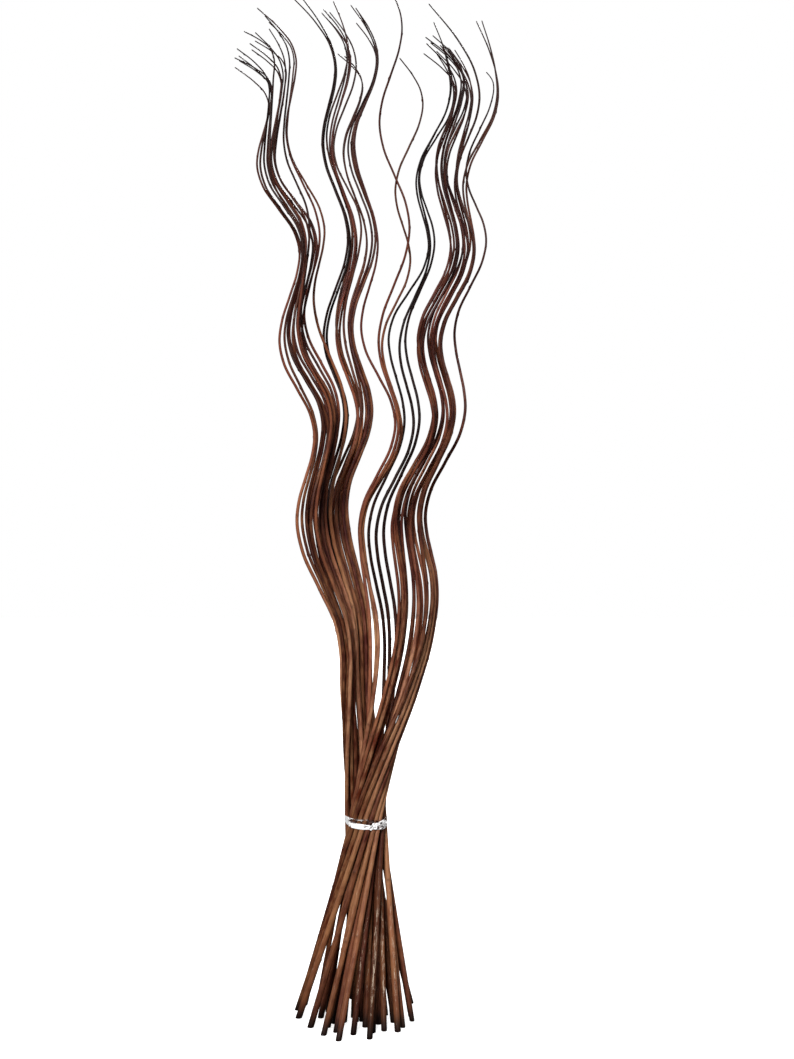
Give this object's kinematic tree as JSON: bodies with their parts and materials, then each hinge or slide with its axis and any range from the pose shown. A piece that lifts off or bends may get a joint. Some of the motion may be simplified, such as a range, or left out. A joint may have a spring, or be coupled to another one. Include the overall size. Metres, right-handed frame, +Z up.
{
  "type": "willow stems",
  "caption": "Tall bunch of crimped willow stems, tied low down with a clear band and standing on its splayed cut ends, its wavy tops fanning out.",
  "frame": {"origin": "middle of the bounding box, on the floor that the feet stand on", "axes": "+Z up along the standing bunch, +X to the right as seen from the front, +Y away from the front"},
  "size_m": [0.3112, 0.2192, 1.2564],
  "materials": {
    "bark_chestnut": "steamed and stained willow bark, chestnut brown with a soft sheen",
    "bark_russet": "steamed and stained willow bark, russet brown with a soft sheen",
    "bark_dark": "steamed and stained willow bark, nearly black",
    "clear_film": "clear glossy plastic film, drawn tight and knotted"
  },
  "bodies": {
    "root": {"stem_left_1": "bark_chestnut", "stem_left_2": "bark_chestnut", "stem_left_3a": "bark_russet", "stem_left_3b": "bark_chestnut", "stem_left_3c": "bark_chestnut", "stem_left_4": "bark_russet", "stem_left_5a": "bark_chestnut", "stem_left_5b": "bark_chestnut", "stem_left_6a": "bark_russet", "stem_left_6b": "bark_chestnut", "stem_left_6c": "bark_chestnut", "stem_left_7": "bark_russet", "stem_left_8": "bark_chestnut", "stem_left_9": "bark_chestnut", "stem_inner_1a": "bark_dark", "stem_inner_1b": "bark_dark", "stem_inner_2a": "bark_chestnut", "stem_inner_2b": "bark_russet", "stem_inner_2c": "bark_chestnut", "stem_inner_2d": "bark_chestnut", "stem_inner_3": "bark_russet", "stem_inner_4a": "bark_chestnut", "stem_inner_4b": "bark_chestnut", "stem_inner_5a": "bark_russet", "stem_inner_5b": "bark_chestnut", "stem_inner_5c": "bark_chestnut", "stem_inner_6": "bark_russet", "stem_middle_1": "bark_chestnut", "stem_middle_2": "bark_chestnut", "stem_middle_3": "bark_dark", "stem_middle_4": "bark_dark", "stem_middle_5": "bark_dark", "stem_right_1a": "bark_russet", "stem_right_1b": "bark_chestnut", "stem_right_1c": "bark_chestnut", "stem_right_2a": "bark_russet", "stem_right_2b": "bark_chestnut", "stem_right_2c": "bark_chestnut", "stem_right_3a": "bark_russet", "stem_right_3b": "bark_chestnut", "stem_right_3c": "bark_chestnut", "stem_right_4a": "bark_russet", "stem_right_4b": "bark_chestnut", "stem_right_4c": "bark_chestnut", "stem_right_5": "bark_russet", "stem_right_6a": "bark_chestnut", "stem_right_6b": "bark_chestnut", "stem_right_7": "bark_russet", "tie": "clear_film"}
  },
  "joints": []
}
